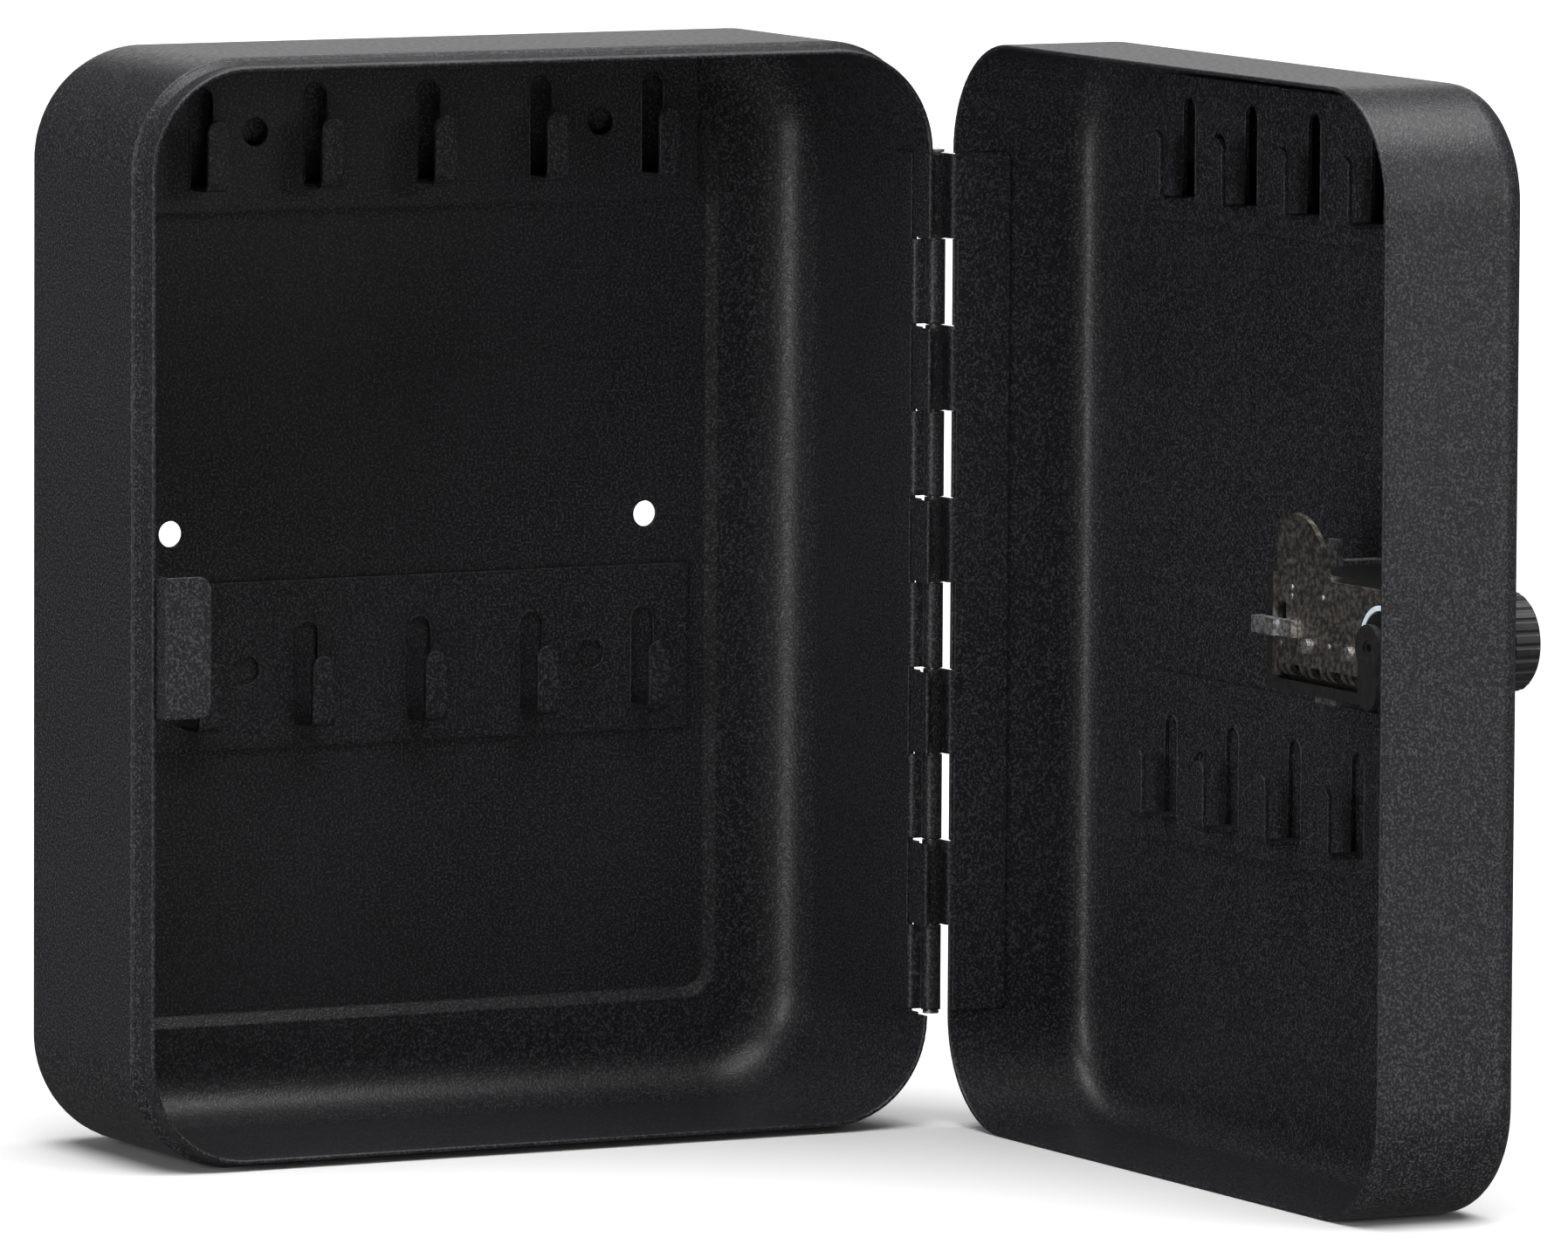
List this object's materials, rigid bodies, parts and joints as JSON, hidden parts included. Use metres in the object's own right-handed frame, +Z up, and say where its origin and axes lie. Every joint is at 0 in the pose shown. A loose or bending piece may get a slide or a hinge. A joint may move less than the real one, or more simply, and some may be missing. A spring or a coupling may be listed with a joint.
{
  "type": "key cabinet",
  "caption": "Wall-mounted steel key cabinet with a hinged door on a piano hinge, hook rails and a dial combination cam lock.",
  "frame": {"origin": "middle of the flat back face that meets the wall", "axes": "+Z up, -Y out of the wall towards the user, +X to the hinge side"},
  "size_m": [0.2009, 0.2132, 0.2],
  "materials": {
    "shell_black": "fine-texture powder coat",
    "lock_plastic": "moulded, satin",
    "dial_plastic": "moulded, satin, with pale figures",
    "nickel": "nickel-plated pressing",
    "steel": "bright",
    "brass": "turned",
    "nylon": "natural nylon"
  },
  "bodies": {
    "base": {"box_shell": "shell_black", "box_rail_upper": "shell_black", "box_rail_lower": "shell_black", "strike_plate": "shell_black", "hinge_leaf_box": "shell_black", "hinge_pin": "steel"},
    "door": {"door_shell": "shell_black", "door_rail_upper": "shell_black", "door_rail_lower": "shell_black", "hinge_leaf_door": "shell_black", "lock_housing": "lock_plastic", "lock_escutcheon": "lock_plastic", "lock_cover": "nickel", "cover_screws": "steel", "retaining_clips": "nickel", "dial_axle": "steel", "friction_washer": "nylon"},
    "knob_and_cam": {"knob": "lock_plastic", "spindle": "lock_plastic", "lock_cam": "lock_plastic", "cam_screw": "lock_plastic"},
    "lever": {"reset_lever": "nickel"},
    "dial_wheel_1": {"dial_1": "dial_plastic", "code_sleeve_1": "brass"},
    "dial_wheel_2": {"dial_2": "dial_plastic", "code_sleeve_2": "brass"},
    "dial_wheel_3": {"dial_3": "dial_plastic", "code_sleeve_3": "brass"},
    "dial_wheel_4": {"dial_4": "dial_plastic", "code_sleeve_4": "brass"}
  },
  "joints": [
    {"name": "door_hinge", "type": "hinge", "parent": "base", "child": "door", "pos_m": [0.0825, -0.0507, 0], "axis": [0, 0, 1], "range_deg": [-90, 90]},
    {"name": "knob_turn", "type": "hinge", "parent": "door", "child": "knob_and_cam", "pos_m": [0.114, -0.1975, 0.0014], "axis": [-1, 0, 0], "range_deg": [0, 90]},
    {"name": "code_change", "type": "slide", "parent": "door", "child": "lever", "axis": [0, 0, 1], "range_m": [0, 0.0024]},
    {"name": "dial_1_turn", "type": "hinge", "parent": "door", "child": "dial_wheel_1", "pos_m": [0.1078, -0.1633, 0.0014], "axis": [0, 1, 0], "continuous": true},
    {"name": "dial_2_turn", "type": "hinge", "parent": "door", "child": "dial_wheel_2", "pos_m": [0.1078, -0.1707, 0.0014], "axis": [0, 1, 0], "continuous": true},
    {"name": "dial_3_turn", "type": "hinge", "parent": "door", "child": "dial_wheel_3", "pos_m": [0.1078, -0.1781, 0.0014], "axis": [0, 1, 0], "continuous": true},
    {"name": "dial_4_turn", "type": "hinge", "parent": "door", "child": "dial_wheel_4", "pos_m": [0.1078, -0.1855, 0.0014], "axis": [0, 1, 0], "continuous": true}
  ]
}
